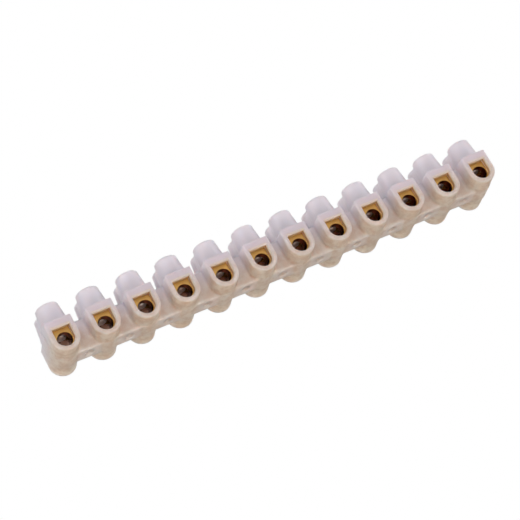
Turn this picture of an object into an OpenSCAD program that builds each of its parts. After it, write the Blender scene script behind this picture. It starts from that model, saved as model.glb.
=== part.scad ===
// Barrier terminal strip with twelve poles.
// One moulded polyethylene housing carries a brass insert in each pole.
// Two slotted clamp screws per pole press a wire against the floor of its insert.
// X runs along the strip, the wires enter along Y, and the screws turn about Z.
// The origin is at the middle of the strip, level with its lowest point.

/* [Strip] */
// Number of poles
poles = 12; // [2:1:12]
// Distance from pole to pole
pitch = 8; // [7.6:0.1:10]
// Depth of the strip, from one wire face to the other
depth = 12; // [11.4:0.1:15]

/* [Brass insert] */
// Width of an insert, which is also the diameter of its round underside
insert_w = 3.2; // [3.1:0.05:3.6]
// Diameter of the wire bore through an insert
wire_bore_d = 2.8; // [2.2:0.05:2.85]
// Brass above the wire bore, where the screws are threaded
insert_roof = 0.8; // [0.7:0.05:1.2]
// Distance from a wire face back to the end of the insert
insert_recess = 1.35; // [0.8:0.05:1.6]
// Small bevel around each end of the wire bore
bore_bevel = 0.1; // [0.05:0.01:0.12]
// Clearance around the insert in its pocket
pocket_clearance = 0.1; // [0.05:0.01:0.2]

/* [Clamp screws] */
// Distance between the two screws of a pole, along the wire
screw_spacing = 4.4; // [4.2:0.05:5]
// Outside diameter of the screw thread
thread_d = 2.5; // [2.2:0.05:2.6]
// Radial clearance of the thread in the insert
thread_clearance = 0.05; // [0.03:0.01:0.08]
// Length of the screw below its head
shank_l = 3.6; // [3.5:0.05:4.2]
// Height of the bevel at the screw's tip
tip_bevel = 0.35; // [0.3:0.05:0.6]
// Diameter of the screw head
head_d = 3; // [2.9:0.05:3.2]
// Height of the screw head
head_h = 1.5; // [1.2:0.05:2]
// Bevel around the top of the screw head
head_bevel = 0.15; // [0.05:0.05:0.25]
// Width of the screwdriver slot
slot_w = 0.6; // [0.4:0.05:0.8]
// Depth of the screwdriver slot
slot_d = 0.8; // [0.5:0.05:1]
// How far a tip stands into the wire bore as delivered
tip_show = 0.2; // [0.05:0.01:0.22]
// How far a screw can be backed out from there
back_out = 0.6; // [0.3:0.05:0.8]
// Gap left between the backed out screw head and the lip above it
stop_gap = 0.05; // [0.02:0.01:0.1]

/* [Housing] */
// Plastic wall around the pocket behind the wire faces
tube_wall = 0.95; // [0.8:0.05:1.1]
// Radius around the edge of each wire face
face_round = 0.3; // [0.2:0.05:0.4]
// How far the mouth of a pocket widens towards the wire face
flare_reach = 0.2; // [0.1:0.05:0.3]
// Length of the widened mouth
flare_l = 0.55; // [0.3:0.05:0.7]
// How far the spine stands proud of the tubes around it
spine_step = 0.12; // [0.1:0.01:0.3]
// Depth of the spine and its webs along the wire
spine_d = 4.1; // [3.6:0.1:5]
// Plastic above the inserts, up to the flat shoulders
shoulder_t = 1.65; // [1.4:0.05:2]
// Radius along the top edges of the shoulders
shoulder_round = 0.45; // [0.2:0.05:0.5]
// How far the webs end below the shoulders
web_drop = 0.2; // [0.1:0.05:0.6]
// How far the webs end above the lowest point
web_lift = 0.4; // [0.3:0.05:1]
// Radius along the edges of the webs
web_round = 0.3; // [0.1:0.05:0.4]
// Diameter of the fixing holes through the webs
fixing_d = 1.8; // [1.6:0.1:2.4]

/* [Screw towers] */
// Radial clearance around a screw head
head_clearance = 0.2; // [0.15:0.01:0.25]
// Plastic wall of a tower at its top
tower_wall = 0.57; // [0.4:0.01:0.65]
// How much the radius of a tower grows from its top to its foot
tower_flare = 0.4; // [0.2:0.01:0.5]
// Radius around the top edge of a tower
tower_round = 0.5; // [0.2:0.05:0.55]
// Thickness of the lip that keeps the screw head in
lip_t = 1.15; // [0.9:0.05:1.5]
// How far the lip reaches in from the bore of the tower
lip_reach = 0.35; // [0.3:0.01:0.5]
// Width of the lead-in bevel at the mouth of a tower
mouth_bevel = 0.2; // [0.1:0.01:0.25]
// How far the bridge between two towers stays within their sides
bridge_inset = 0.25; // [0.1:0.05:0.5]
// How far the bridge ends below the tops of the towers
bridge_drop = 0.6; // [0.55:0.05:1.5]

/* [Hidden] */
$fn = 64;
// Overshoot of a cut past the face that it opens
over = 0.5;
// Turn of the slot from one screw to the next, in degrees, as left by assembly
slot_turn = 67;

insert_r = insert_w / 2;
pocket_r = insert_r + pocket_clearance;
tube_r = pocket_r + tube_wall;
spine_r = tube_r + spine_step;
bore_z = spine_r;
bore_r = wire_bore_d / 2;
insert_top = bore_z + bore_r + insert_roof;
insert_l = depth - 2 * insert_recess;
shoulder_z = insert_top + shoulder_t;
web_top = shoulder_z - web_drop;

thread_r = thread_d / 2;
tap_r = thread_r + thread_clearance;
head_r = head_d / 2;
tip_z = bore_z + bore_r - tip_show;
head_z = tip_z + shank_l;
screw_h = shank_l + head_h;

tower_bore_r = head_r + head_clearance;
lip_z = head_z + head_h + back_out + stop_gap;
tower_z = lip_z + lip_t;
tower_top_r = tower_bore_r + tower_wall;
tower_foot_r = tower_top_r + tower_flare;
mouth_r = tower_bore_r - lip_reach;
bridge_z = tower_z - bridge_drop;

strip_l = (poles - 1) * pitch;

// Place of a pole along the strip
function pole_x(pole) = (pole - 1) * pitch - strip_l / 2;

// Rectangle from low to high with rounded corners
module rounded_rect(low, high, corner) {
    translate([low.x + corner, low.y]) square([high.x - low.x - 2 * corner, high.y - low.y]);
    translate([low.x, low.y + corner]) square([high.x - low.x, high.y - low.y - 2 * corner]);
    for (x = [low.x + corner, high.x - corner], y = [low.y + corner, high.y - corner])
        translate([x, y]) circle(corner);
}

// Outline of a pole in X and Z: round below, with a flat top and rounded shoulders
module pole_outline(radius) {
    translate([0, bore_z]) circle(radius);
    rounded_rect([-radius, bore_z - shoulder_round], [radius, shoulder_z], shoulder_round);
}

// Flat topped outline with a round underside, centred on the wire bore
module u_outline(radius, top) {
    translate([0, bore_z]) circle(radius);
    translate([-radius, bore_z]) square([2 * radius, top - bore_z]);
}

// An outline in X and Z, drawn out along the wire about the middle of the strip
module along_wire(length) {
    translate([0, length / 2, 0]) rotate([90, 0, 0]) linear_extrude(length) children();
}

// An outline in Y and Z, drawn out along the strip about its middle
module along_strip(length) {
    translate([-length / 2, 0, 0]) rotate([90, 0, 90]) linear_extrude(length) children();
}

// Whatever is repeated at the front and the rear screw of a pole
module at_screws() {
    for (side = [-1, 1]) translate([0, side * screw_spacing / 2, 0]) children();
}

// Both wire tubes of a pole, as one bar that is rounded around its wire faces
module wire_tubes() {
    translate([0, 0, bore_z]) rotate([90, 0, 0]) rotate_extrude() intersection() {
        rounded_rect([-tube_r, -depth / 2], [tube_r, depth / 2], face_round);
        translate([0, -depth / 2]) square([tube_r, depth]);
    }
    intersection() {
        along_wire(depth) pole_outline(tube_r);
        translate([0, 0, bore_z]) linear_extrude(shoulder_z - bore_z)
            rounded_rect([-tube_r, -depth / 2], [tube_r, depth / 2], face_round);
        along_strip(2 * tube_r)
            rounded_rect([-depth / 2, bore_z - face_round], [depth / 2, shoulder_z], face_round);
    }
}

// Tapered tower around a screw, with a rounded top edge
module tower() {
    rotate_extrude() {
        polygon([
            [0, bore_z],
            [tower_foot_r, bore_z],
            [tower_foot_r, shoulder_z],
            [tower_top_r, tower_z - tower_round],
            [0, tower_z - tower_round]
        ]);
        translate([0, tower_z - 2 * tower_round])
            square([tower_top_r - tower_round, 2 * tower_round]);
        translate([tower_top_r - tower_round, tower_z - tower_round])
            intersection() {
                circle(tower_round);
                square(tower_round);
            }
    }
}

// Bridge that joins the two towers of a pole
module bridge() {
    along_wire(screw_spacing) polygon([
        [bridge_inset - tower_foot_r, bore_z],
        [tower_foot_r - bridge_inset, bore_z],
        [tower_foot_r - bridge_inset, shoulder_z],
        [tower_top_r - bridge_inset, bridge_z],
        [bridge_inset - tower_top_r, bridge_z],
        [bridge_inset - tower_foot_r, shoulder_z]
    ]);
}

// Space for a screw: the room of its head, the lip above it and the bevelled mouth
module tower_bore() {
    rotate_extrude() polygon([
        [0, insert_top - over],
        [tower_bore_r, insert_top - over],
        [tower_bore_r, lip_z],
        [mouth_r, lip_z],
        [mouth_r, tower_z - mouth_bevel],
        [mouth_r + mouth_bevel, tower_z],
        [mouth_r + mouth_bevel, tower_z + over],
        [0, tower_z + over]
    ]);
}

// Widened mouth of a pocket at the front wire face
module pocket_mouth() {
    face_y = -depth / 2;
    flare_r = pocket_r + flare_reach;
    translate([0, face_y, bore_z]) rotate([-90, 0, 0])
        cylinder(r1 = flare_r, r2 = pocket_r, h = flare_l);
    translate([0, 0, bore_z]) linear_extrude(insert_top - bore_z) polygon([
        [-flare_r, face_y - over],
        [flare_r, face_y - over],
        [flare_r, face_y],
        [pocket_r, face_y + flare_l],
        [-pocket_r, face_y + flare_l],
        [-flare_r, face_y]
    ]);
}

// Outside of one pole: the wire tubes, the thicker spine between them, and two towers
module pole_body() {
    wire_tubes();
    along_wire(spine_d) pole_outline(spine_r);
    at_screws() tower();
    bridge();
}

// Spaces inside one pole
module pole_cavity() {
    along_wire(depth + 2 * over) u_outline(pocket_r, insert_top);
    pocket_mouth();
    mirror([0, 1, 0]) pocket_mouth();
    at_screws() tower_bore();
}

// Webs that join the poles, as one bar
module web() {
    along_strip(strip_l)
        rounded_rect([-spine_d / 2, web_lift], [spine_d / 2, web_top], web_round);
}

module housing() {
    color("gainsboro") difference() {
        union() {
            web();
            for (pole = [1:poles]) translate([pole_x(pole), 0, 0]) pole_body();
        }
        for (pole = [1:poles]) translate([pole_x(pole), 0, 0]) pole_cavity();
        for (gap = [1:poles - 1])
            translate([pole_x(gap) + pitch / 2, 0, web_lift - over])
                cylinder(r = fixing_d / 2, h = web_top - web_lift + 2 * over);
    }
}

// Brass bar with a round underside, a wire bore and two tapped holes
module insert(pole) {
    color("goldenrod") translate([pole_x(pole), 0, 0]) difference() {
        along_wire(insert_l) u_outline(insert_r, insert_top);
        translate([0, insert_l / 2 + over, bore_z]) rotate([90, 0, 0])
            cylinder(r = bore_r, h = insert_l + 2 * over);
        for (turn = [0, 180]) rotate([0, 0, turn])
            translate([0, insert_l / 2 - bore_bevel, bore_z]) rotate([-90, 0, 0])
                cylinder(r1 = bore_r, r2 = bore_r + 2 * bore_bevel, h = 2 * bore_bevel);
        at_screws() translate([0, 0, bore_z])
            cylinder(r = tap_r, h = insert_top - bore_z + over);
    }
}

// Slotted clamp screw; side is -1 at the front wire face and 1 at the rear
module clamp_screw(pole, side) {
    color("silver")
        translate([pole_x(pole), side * screw_spacing / 2, tip_z])
        rotate([0, 0, slot_turn * (pole + side)])
        difference() {
            rotate_extrude() polygon([
                [0, 0],
                [thread_r - tip_bevel, 0],
                [thread_r, tip_bevel],
                [thread_r, shank_l],
                [head_r, shank_l],
                [head_r, screw_h - head_bevel],
                [head_r - head_bevel, screw_h],
                [0, screw_h]
            ]);
            translate([-head_r - over, -slot_w / 2, screw_h - slot_d])
                cube([head_d + 2 * over, slot_w, slot_d + over]);
        }
}

housing();
for (pole = [1:poles]) {
    insert(pole);
    clamp_screw(pole, -1);
    clamp_screw(pole, 1);
}
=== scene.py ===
"""Barrier terminal strip: materials, screw threads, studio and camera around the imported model."""
import math

import bpy
from mathutils import Matrix, Vector

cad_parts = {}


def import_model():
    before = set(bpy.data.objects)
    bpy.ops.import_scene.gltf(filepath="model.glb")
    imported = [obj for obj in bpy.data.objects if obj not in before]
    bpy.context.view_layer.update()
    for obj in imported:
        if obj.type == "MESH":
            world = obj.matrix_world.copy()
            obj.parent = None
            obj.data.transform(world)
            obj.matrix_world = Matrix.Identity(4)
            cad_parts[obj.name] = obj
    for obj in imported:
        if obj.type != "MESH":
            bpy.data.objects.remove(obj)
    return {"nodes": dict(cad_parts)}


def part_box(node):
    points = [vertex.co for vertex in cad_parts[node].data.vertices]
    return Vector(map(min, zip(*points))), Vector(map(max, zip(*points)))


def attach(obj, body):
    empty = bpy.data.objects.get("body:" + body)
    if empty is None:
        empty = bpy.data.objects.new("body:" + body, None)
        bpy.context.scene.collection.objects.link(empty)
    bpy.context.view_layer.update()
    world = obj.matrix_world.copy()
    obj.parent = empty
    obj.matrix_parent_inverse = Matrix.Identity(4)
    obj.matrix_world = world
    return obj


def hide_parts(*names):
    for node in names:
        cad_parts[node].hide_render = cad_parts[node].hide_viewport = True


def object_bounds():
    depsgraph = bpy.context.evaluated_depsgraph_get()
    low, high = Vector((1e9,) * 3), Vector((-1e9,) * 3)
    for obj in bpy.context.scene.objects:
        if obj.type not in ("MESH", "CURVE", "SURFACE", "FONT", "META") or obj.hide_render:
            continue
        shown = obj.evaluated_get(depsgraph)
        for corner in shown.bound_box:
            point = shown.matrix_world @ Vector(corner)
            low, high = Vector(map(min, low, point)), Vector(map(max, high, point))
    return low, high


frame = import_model()
cad_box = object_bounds()

MM = 0.001

# sizes that the frame's boxes don't give: the wire bores and the clamp screws
BORE_R = 1.4 * MM
THREAD_R = 1.25 * MM
THREAD_DEPTH = 0.24 * MM
THREAD_PITCH = 0.45 * MM
TIP_BEVEL = 0.35 * MM
SHANK_L = 3.6 * MM
HEAD_BEVEL = 0.15 * MM
UNDER_HEAD_BEVEL = 0.05 * MM
SLOT_W = 0.6 * MM
SLOT_D = 0.8 * MM
# turn of the slot from one screw to the next, in degrees
SLOT_TURN = 67
# share of half a thread pitch that is flat at the root, and again at the crest
THREAD_FLAT = 0.15
# how many times the bevel of the slot's edges goes into the bevel of the head's rim
RIM_TO_SLOT_BEVEL = 3
# where a further ring rounds the rim's bevel, as a share of the bevel
RIM_ROUNDING = 0.3
# edges of a screw that turn by more than this, in degrees, are shown sharp
SHARP_ANGLE = 32
# points around a shank, and around each half of a head
ROUND_STEPS = 48
HALF_STEPS = 28

# colours, each as two sRGB tones that a noise mixes
LILAC = (241, 229, 238), (234, 221, 229)
PEACH = (243, 224, 211), (229, 202, 185)
TAN = (243, 216, 188), (208, 170, 134)
BRIGHT_BRASS = (206, 164, 96), (180, 140, 80)
# painted shade inside the wire bores, as darker brown brass
BORE_PAINTED_SHADE = (124, 66, 22), (92, 46, 13)
ZINC = (248, 244, 242), (228, 222, 220)
PAPER = (240, 240, 240), (236, 236, 236)
# painted light on the walls of a pocket at its mouth, and a painted reflection of the brass on them
# further in
POCKET_MOUTH_PAINTED_LIGHT = (246, 226, 212)
POCKET_PAINTED_BRASS_REFLECTION = (200, 162, 100)
# painted shade on the wire faces, as the share of the plastic's colour that they keep
WIRE_FACE_PAINTED_SHADE = (242, 240, 242)
WHITE = (255, 255, 255)

# stretches over which the plastic changes, outside the outline of an insert or beyond its ends
TINT_BESIDE = 0.6 * MM, 1.7 * MM
TINT_BEYOND = 0.4 * MM, 1.4 * MM
POCKET_WALL = 0.22 * MM, 0.36 * MM
POCKET_START = 0.0, 0.05 * MM
# depths beyond an insert's end over which the painted light at a pocket's mouth turns into the painted
# reflection of the brass
BRASS_REFLECTION_DEPTH = 0.5 * MM, 0.95 * MM
# depths beyond an insert's end over which the painted shade of the wire faces sets in
FACE_START = 1.15 * MM, 1.32 * MM
# heights over which it changes, below and above the middle of the wire bores
TINT_HEIGHTS = -1.6 * MM, 1.6 * MM
PEACH_HEIGHTS = -0.8 * MM, 4.4 * MM
# the largest shares of the tan and peach tones
TINT_MOST = 0.8
PEACH_MOST = 0.9
# radius of the plastic's edges outside and in its pockets, and of the inserts' edges
PLASTIC_EDGE = 0.8 * MM
POCKET_EDGE = 0.05 * MM
INSERT_EDGE = 0.06 * MM
# distance outside the radius of a bore over which the painted shade on its wall ends
BORE_EDGE = 0.01 * MM, 0.06 * MM

# even grey light all round
WORLD = 0.31
# soft lights: azimuth and elevation in degrees, power in watts, and colour
LIGHTS = {
    "key": (-45, 30, 1.15, (1.0, 0.98, 0.98)),
    "low": (-25, -28, 0.9, (1.0, 0.99, 0.98)),
    "left": (-80, 35, 0.7, (1.0, 1.0, 0.98)),
    "right": (70, 25, 1.85, (1.0, 0.97, 0.99)),
    "under": (-15, -62, 2.2, (1.0, 0.98, 0.95)),
    "back": (170, 40, 0.6, (1.0, 0.98, 0.94)),
}
LIGHT_SIZE = 0.5
LIGHT_DISTANCE = 0.6

FLOOR_SIZE = 3
FLOOR_GAP = 0.02 * MM

# the camera: the point it looks at, from the strip's middle, its direction in degrees, and its lens
VIEW_AIM = Vector((-2.28, 1.03, -0.21)) * MM
VIEW_AZIMUTH = -20.16
VIEW_ELEVATION = -20.45
VIEW_ROLL = -29.16
VIEW_DISTANCE = 352.9 * MM
FOCAL_LENGTH = 129.55
SENSOR_WIDTH = 36.0


# ---------------------------------------------------------------- sizes from the frame
def box_middle(node):
    low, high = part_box(node)
    return (low + high) / 2


def box_size(node):
    low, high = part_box(node)
    return high - low


pitch = box_middle("insert_2").x - box_middle("insert_1").x
first_pole_x = box_middle("insert_1").x
insert_r = box_size("insert_1").x / 2
insert_half_l = box_size("insert_1").y / 2
insert_low, insert_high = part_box("insert_1")
bore_z = insert_low.z + insert_r
middle = (cad_box[0] + cad_box[1]) / 2


# ---------------------------------------------------------------- node helpers
def rgba(red, green, blue):
    """An sRGB colour, 0 to 255, as linear values."""
    def linear(c):
        c /= 255
        return c / 12.92 if c <= 0.04045 else ((c + 0.055) / 1.055) ** 2.4
    return (linear(red), linear(green), linear(blue), 1.0)


class Nodes:
    """Short way to add linked nodes to a material or world."""

    def __init__(self, tree):
        self.tree = tree

    def add(self, kind, **settings):
        node = self.tree.nodes.new(kind)
        for key, value in settings.items():
            setattr(node, key, value)
        return node

    def put(self, socket, value):
        if isinstance(value, bpy.types.NodeSocket):
            self.tree.links.new(value, socket)
        else:
            socket.default_value = value

    def coordinates(self):
        """Place on the piece, as a vector and as X, Y and Z."""
        place = self.add("ShaderNodeTexCoord").outputs["Object"]
        split = self.add("ShaderNodeSeparateXYZ")
        self.put(split.inputs[0], place)
        return place, *split.outputs

    def math(self, operation, *values):
        node = self.add("ShaderNodeMath", operation=operation)
        for socket, value in zip(node.inputs, values):
            self.put(socket, value)
        return node.outputs[0]

    def distance(self, across, up):
        """Length of the line whose two parts are given."""
        squares = [self.math("MULTIPLY", part, part) for part in (across, up)]
        return self.math("SQRT", self.math("ADD", *squares))

    def ramp(self, value, low, high, to_low=0.0, to_high=1.0):
        node = self.add("ShaderNodeMapRange", interpolation_type="SMOOTHSTEP")
        for socket, number in zip(node.inputs, (value, low, high, to_low, to_high)):
            self.put(socket, number)
        return node.outputs[0]

    def fade(self, value, near, far, most=1.0):
        """The most where the value is at or under near, falling to 0 at far."""
        return self.ramp(value, far, near, to_high=most)

    def noise(self, vector, scale, detail=3.0, roughness=0.5):
        node = self.add("ShaderNodeTexNoise")
        self.put(node.inputs["Vector"], vector)
        node.inputs["Scale"].default_value = scale
        node.inputs["Detail"].default_value = detail
        node.inputs["Roughness"].default_value = roughness
        return node.outputs["Fac"]

    def mix(self, factor, a, b, blend_type="MIX"):
        node = self.add("ShaderNodeMix", data_type="RGBA", blend_type=blend_type)
        self.put(node.inputs["Factor"], factor)
        self.put(node.inputs["A"], a)
        self.put(node.inputs["B"], b)
        return node.outputs["Result"]

    def tones(self, factor, colours):
        """Mix of the two tones of a colour."""
        first, second = colours
        return self.mix(factor, rgba(*first), rgba(*second))

    def bump(self, height, strength, distance, normal=None):
        node = self.add("ShaderNodeBump")
        self.put(node.inputs["Height"], height)
        node.inputs["Strength"].default_value = strength
        node.inputs["Distance"].default_value = distance
        if normal is not None:
            self.put(node.inputs["Normal"], normal)
        return node.outputs["Normal"]

    def soft_edges(self, radius):
        """Normals that turn smoothly over the edges, as moulded or tumbled edges do."""
        node = self.add("ShaderNodeBevel", samples=6)
        self.put(node.inputs["Radius"], radius)
        return node.outputs["Normal"]


def new_material(name):
    material = bpy.data.materials.new(name)
    material.use_nodes = True
    tree = material.node_tree
    return material, Nodes(tree), tree.nodes["Principled BSDF"]


# ---------------------------------------------------------------- materials
def from_pole(nodes, x):
    """Distance along the strip from the nearest pole, negative on its left."""
    return nodes.math("WRAP", nodes.math("SUBTRACT", x, first_pole_x), pitch / 2, -pitch / 2)


def from_insert(nodes, x, y, z):
    """Distance outside the U-shaped outline of the nearest insert, and beyond its ends."""
    below = nodes.math("MAXIMUM", nodes.math("SUBTRACT", bore_z, z), 0.0)
    rounded = nodes.distance(from_pole(nodes, x), below)
    above = nodes.math("SUBTRACT", z, insert_high.z - insert_r)
    outside = nodes.math("SUBTRACT", nodes.math("MAXIMUM", rounded, above), insert_r)
    beyond = nodes.math("SUBTRACT", nodes.math("ABSOLUTE", y), insert_half_l)
    return outside, beyond


def plastic_skin(nodes, place, z, outside, beyond):
    """Lilac above, peach below, and tan where the brass shows through the low, thin walls."""
    height = nodes.math("SUBTRACT", z, bore_z)
    cloud = nodes.noise(place, scale=260, detail=4)
    wisps = nodes.ramp(nodes.noise(place, scale=620, detail=6, roughness=0.7), low=0.36, high=0.64)
    peach_share = nodes.fade(height, *PEACH_HEIGHTS, most=PEACH_MOST)
    body = nodes.mix(peach_share, nodes.tones(cloud, LILAC), nodes.tones(wisps, PEACH))
    near_brass = nodes.math("MULTIPLY", nodes.fade(outside, *TINT_BESIDE),
                            nodes.fade(beyond, *TINT_BEYOND))
    tint = nodes.math("MULTIPLY", near_brass, nodes.fade(height, *TINT_HEIGHTS, most=TINT_MOST))
    return nodes.mix(tint, body, nodes.tones(wisps, TAN))


def plastic_colour(nodes, skin, pocket, beyond):
    """The skin, with painted light on the walls of the pockets at the mouth, a painted reflection of the
    brass on them further in, and painted shade on the wire faces.
    """
    # painted light at the mouth of each pocket, turning into a painted reflection of the brass deeper in
    pocket_painted_light = nodes.mix(nodes.fade(beyond, *BRASS_REFLECTION_DEPTH), rgba(*POCKET_MOUTH_PAINTED_LIGHT), rgba(*POCKET_PAINTED_BRASS_REFLECTION))
    # painted shade that makes the wire faces greyer
    wire_face_shade = nodes.mix(nodes.ramp(beyond, *FACE_START), rgba(*WHITE), rgba(*WIRE_FACE_PAINTED_SHADE))
    return nodes.mix(1.0, nodes.mix(pocket, skin, pocket_painted_light), wire_face_shade, blend_type="MULTIPLY")


def polyethylene():
    """Milky housing plastic, with painted light and a painted reflection of the brass in its pockets,
    and wire faces made greyer by painted shade.
    """
    material, nodes, shader = new_material("milky_polyethylene")
    place, x, y, z = nodes.coordinates()
    outside, beyond = from_insert(nodes, x, y, z)
    skin = plastic_skin(nodes, place, z, outside, beyond)
    pocket = nodes.math("MULTIPLY", nodes.fade(outside, *POCKET_WALL), nodes.ramp(beyond, *POCKET_START))
    nodes.put(shader.inputs["Base Color"], plastic_colour(nodes, skin, pocket, beyond))
    rough = nodes.ramp(nodes.noise(place, scale=900), low=0.2, high=0.8, to_low=0.36, to_high=0.52)
    nodes.put(shader.inputs["Roughness"], rough)
    edge = nodes.ramp(pocket, low=0.0, high=1.0, to_low=PLASTIC_EDGE, to_high=POCKET_EDGE)
    grain = nodes.noise(place, scale=2600, detail=4, roughness=0.6)
    normal = nodes.bump(grain, strength=0.25, distance=0.02 * MM, normal=nodes.soft_edges(edge))
    nodes.put(shader.inputs["Normal"], normal)
    shader.inputs["Transmission Weight"].default_value = 0.35
    shader.inputs["Subsurface Weight"].default_value = 0.9
    shader.inputs["Subsurface Radius"].default_value = (1.0, 0.8, 0.7)
    shader.inputs["Subsurface Scale"].default_value = 3.5 * MM
    shader.inputs["IOR"].default_value = 1.5
    return material


def brass():
    """Brass of the inserts, with painted shade in their drilled bores: a dark brown wall."""
    material, nodes, shader = new_material("insert_brass")
    place, x, _, z = nodes.coordinates()
    from_axis = nodes.distance(from_pole(nodes, x), nodes.math("SUBTRACT", z, bore_z))
    inside = nodes.fade(nodes.math("SUBTRACT", from_axis, BORE_R), *BORE_EDGE)
    patches = nodes.noise(place, scale=500, detail=4)
    # painted shade: darker brown brass on the walls of the bores
    colour = nodes.mix(inside, nodes.tones(patches, BRIGHT_BRASS), nodes.tones(patches, BORE_PAINTED_SHADE))
    nodes.put(shader.inputs["Base Color"], colour)
    rough = nodes.ramp(nodes.noise(place, scale=1500), low=0.25, high=0.75, to_low=0.32, to_high=0.5)
    polish = nodes.ramp(inside, low=0.0, high=1.0, to_low=1.0, to_high=0.4)
    nodes.put(shader.inputs["Roughness"], nodes.math("MULTIPLY", rough, polish))
    grain = nodes.noise(place, scale=4000)
    edges = nodes.soft_edges(INSERT_EDGE)
    normal = nodes.bump(grain, strength=0.3, distance=0.01 * MM, normal=edges)
    nodes.put(shader.inputs["Normal"], normal)
    shader.inputs["Metallic"].default_value = 1.0
    return material


def steel():
    """Bright zinc plating of the clamp screws."""
    material, nodes, shader = new_material("zinc_plated_steel")
    place = nodes.coordinates()[0]
    nodes.put(shader.inputs["Base Color"], nodes.tones(nodes.noise(place, scale=700), ZINC))
    rough = nodes.ramp(nodes.noise(place, scale=2200), low=0.25, high=0.75, to_low=0.4, to_high=0.56)
    nodes.put(shader.inputs["Roughness"], rough)
    normal = nodes.bump(nodes.noise(place, scale=5000), strength=0.25, distance=0.008 * MM)
    nodes.put(shader.inputs["Normal"], normal)
    shader.inputs["Metallic"].default_value = 1.0
    return material


def dress(node, material):
    mesh = frame["nodes"][node].data
    mesh.materials.clear()
    mesh.materials.append(material)


# ---------------------------------------------------------------- clamp screws
class Shell:
    """Vertices and faces of a mesh while it is being made."""

    def __init__(self):
        self.points = []
        self.faces = []

    def ring(self, points):
        first = len(self.points)
        self.points.extend(points)
        return list(range(first, len(self.points)))

    def skin(self, lower, upper):
        """Closed band of faces between two rings with as many points."""
        count = len(lower)
        for i in range(count):
            j = (i + 1) % count
            self.faces.append((lower[i], lower[j], upper[j], upper[i]))

    def cap(self, ring, downwards=False):
        self.faces.append(tuple(reversed(ring)) if downwards else tuple(ring))


def circle(radius, z):
    turns = [2 * math.pi * i / ROUND_STEPS for i in range(ROUND_STEPS)]
    return [(radius * math.cos(a), radius * math.sin(a), z) for a in turns]


def thread_radius(z, turn):
    """Radius of the shank at a height above its tip and at a turn from 0 to 1."""
    phase = (z / THREAD_PITCH - turn) % 1.0
    crest = 1.0 - abs(2.0 * phase - 1.0)
    rise = min(max((crest - THREAD_FLAT) / (1.0 - 2 * THREAD_FLAT), 0.0), 1.0)
    outer = THREAD_R - max(TIP_BEVEL - z, 0.0)
    return min(THREAD_R - THREAD_DEPTH + THREAD_DEPTH * rise, outer)


def thread(shell, steps_per_pitch=6):
    """Threaded shank from the bevelled tip up to the head; returns its top ring."""
    rows = int(SHANK_L / THREAD_PITCH * steps_per_pitch)
    lower = None
    for row in range(rows + 1):
        z = SHANK_L * row / rows
        points = []
        for step in range(ROUND_STEPS):
            turn = step / ROUND_STEPS
            radius, angle = thread_radius(z, turn), 2 * math.pi * turn
            points.append((radius * math.cos(angle), radius * math.sin(angle), z))
        upper = shell.ring(points)
        if lower is None:
            shell.cap(upper, downwards=True)
        else:
            shell.skin(lower, upper)
        lower = upper
    return lower


def half_head(shell, side, head_r, floor_z, top_z):
    """Raised half of the head on one side of the slot, with a bevelled top edge."""
    def outline(inset, z):
        reach = head_r - inset
        edge = SLOT_W / 2 + inset / RIM_TO_SLOT_BEVEL
        start = math.asin(edge / reach)
        angles = [start + (math.pi - 2 * start) * i / HALF_STEPS for i in range(HALF_STEPS + 1)]
        return [(side * reach * math.cos(a), side * reach * math.sin(a), z) for a in angles]

    corner = HEAD_BEVEL * RIM_ROUNDING
    rings = [shell.ring(outline(0.0, floor_z)), shell.ring(outline(0.0, top_z - HEAD_BEVEL)),
             shell.ring(outline(corner, top_z - corner)), shell.ring(outline(HEAD_BEVEL, top_z))]
    for lower, upper in zip(rings, rings[1:]):
        shell.skin(lower, upper)
    shell.cap(rings[-1])


def screw_mesh():
    """One slotted clamp screw with its tip at the origin and its slot along X."""
    size = box_size("front_screw_1")
    head_r, top_z = size.x / 2, size.z
    floor_z = top_z - SLOT_D
    shell = Shell()
    shank_top = thread(shell)
    under = shell.ring(circle(head_r - UNDER_HEAD_BEVEL, SHANK_L))
    lower = shell.ring(circle(head_r, SHANK_L + UNDER_HEAD_BEVEL))
    upper = shell.ring(circle(head_r, floor_z))
    shell.skin(shank_top, under)
    shell.skin(under, lower)
    shell.skin(lower, upper)
    shell.cap(upper)
    for side in (-1, 1):
        half_head(shell, side, head_r, floor_z, top_z)
    mesh = bpy.data.meshes.new("clamp_screw")
    mesh.from_pydata(shell.points, [], shell.faces)
    mesh.shade_smooth()
    mesh.set_sharp_from_angle(angle=math.radians(SHARP_ANGLE))
    return mesh


def place_screws(material):
    """Threaded screws in the places of the plain ones, each with its own turn of the slot."""
    pattern = screw_mesh()
    pattern.materials.append(material)
    poles = sum(name.startswith("insert_") for name in frame["nodes"])
    for pole in range(1, poles + 1):
        for name, side in ((f"front_screw_{pole}", -1), (f"rear_screw_{pole}", 1)):
            low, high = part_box(name)
            screw = bpy.data.objects.new(f"threaded_{name}", pattern.copy())
            bpy.context.collection.objects.link(screw)
            turn = Matrix.Rotation(math.radians(SLOT_TURN * (pole + side)), 4, "Z")
            tip = Vector(((low.x + high.x) / 2, (low.y + high.y) / 2, low.z))
            screw.matrix_world = Matrix.Translation(tip) @ turn
            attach(screw, name)
            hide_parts(name)


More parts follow.
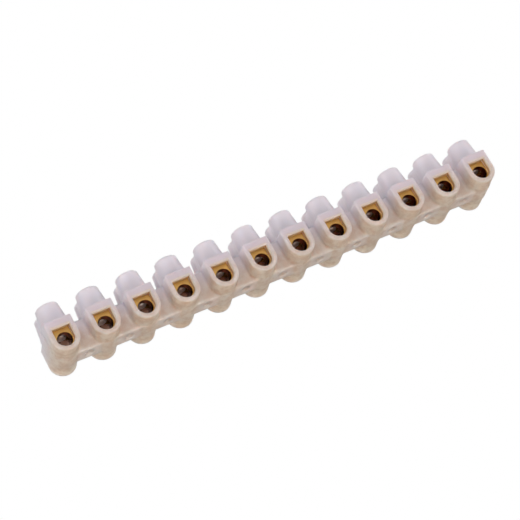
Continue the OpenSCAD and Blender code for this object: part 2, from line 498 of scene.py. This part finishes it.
# ---------------------------------------------------------------- studio
def floor():
    """Pale floor under the strip. From below it isn't seen, and it dims no light."""
    place = (0, 0, cad_box[0].z - FLOOR_GAP)
    bpy.ops.mesh.primitive_plane_add(size=FLOOR_SIZE, location=place)
    plane = bpy.context.object
    plane.name = "studio_floor"
    material, nodes, shader = new_material("floor_paper")
    shade = nodes.tones(nodes.noise(nodes.coordinates()[0], scale=30, detail=2), PAPER)
    nodes.put(shader.inputs["Base Color"], shade)
    shader.inputs["Roughness"].default_value = 0.9
    clear = nodes.add("ShaderNodeBsdfTransparent")
    either = nodes.add("ShaderNodeMixShader")
    nodes.put(either.inputs[0], nodes.add("ShaderNodeNewGeometry").outputs["Backfacing"])
    nodes.put(either.inputs[1], shader.outputs[0])
    nodes.put(either.inputs[2], clear.outputs[0])
    nodes.put(material.node_tree.nodes["Material Output"].inputs["Surface"], either.outputs[0])
    plane.data.materials.append(material)
    plane.visible_shadow = False
    plane.visible_diffuse = False


def direction(azimuth, elevation):
    """Unit vector from the strip towards a viewer; azimuth 0 is in front, elevation 90 above."""
    a, e = math.radians(azimuth), math.radians(elevation)
    return Vector((math.sin(a) * math.cos(e), -math.cos(a) * math.cos(e), math.sin(e)))


def soft_light(name, azimuth, elevation, power, colour):
    """A square soft light that faces the strip from an azimuth and elevation, in degrees."""
    lamp = bpy.data.lights.new(name, "AREA")
    lamp.size, lamp.energy, lamp.color = LIGHT_SIZE, power, colour
    light = bpy.data.objects.new(name, lamp)
    bpy.context.collection.objects.link(light)
    back = direction(azimuth, elevation)
    light.location = middle + back * LIGHT_DISTANCE
    light.rotation_mode = "QUATERNION"
    light.rotation_quaternion = back.to_track_quat("Z", "Y")


def world():
    """White behind the strip and in its reflections, and an even grey light all round."""
    scene_world = bpy.data.worlds.new("studio_world")
    bpy.context.scene.world = scene_world
    scene_world.use_nodes = True
    nodes = Nodes(scene_world.node_tree)
    background = scene_world.node_tree.nodes["Background"]
    rays = nodes.add("ShaderNodeLightPath").outputs
    seen = nodes.math("MAXIMUM", rays["Is Camera Ray"], rays["Is Glossy Ray"])
    seen = nodes.math("MAXIMUM", seen, rays["Is Transmission Ray"])
    nodes.put(background.inputs["Color"], (1, 1, 1, 1))
    nodes.put(background.inputs["Strength"], nodes.ramp(seen, low=0, high=1, to_low=WORLD))


def camera():
    """Long lens low down at the front left, rolled so that the strip climbs to the right."""
    lens = bpy.data.cameras.new("camera")
    lens.lens, lens.sensor_width = FOCAL_LENGTH, SENSOR_WIDTH
    lens.clip_start, lens.clip_end = 0.01, 20.0
    eye = bpy.data.objects.new("camera", lens)
    bpy.context.collection.objects.link(eye)
    back = direction(VIEW_AZIMUTH, VIEW_ELEVATION)
    roll = Matrix.Rotation(math.radians(VIEW_ROLL), 3, "Z")
    turn = back.to_track_quat("Z", "Y").to_matrix() @ roll
    place = middle + VIEW_AIM + back * VIEW_DISTANCE
    eye.matrix_world = Matrix.Translation(place) @ turn.to_4x4()
    bpy.context.scene.camera = eye


# ---------------------------------------------------------------- the whole scene
plastic, insert_brass = polyethylene(), brass()
dress("housing", plastic)
for name in frame["nodes"]:
    if name.startswith("insert_"):
        dress(name, insert_brass)
place_screws(steel())

floor()
world()
for name, light in LIGHTS.items():
    soft_light(name, *light)
camera()
bpy.context.scene.view_settings.view_transform = "Standard"
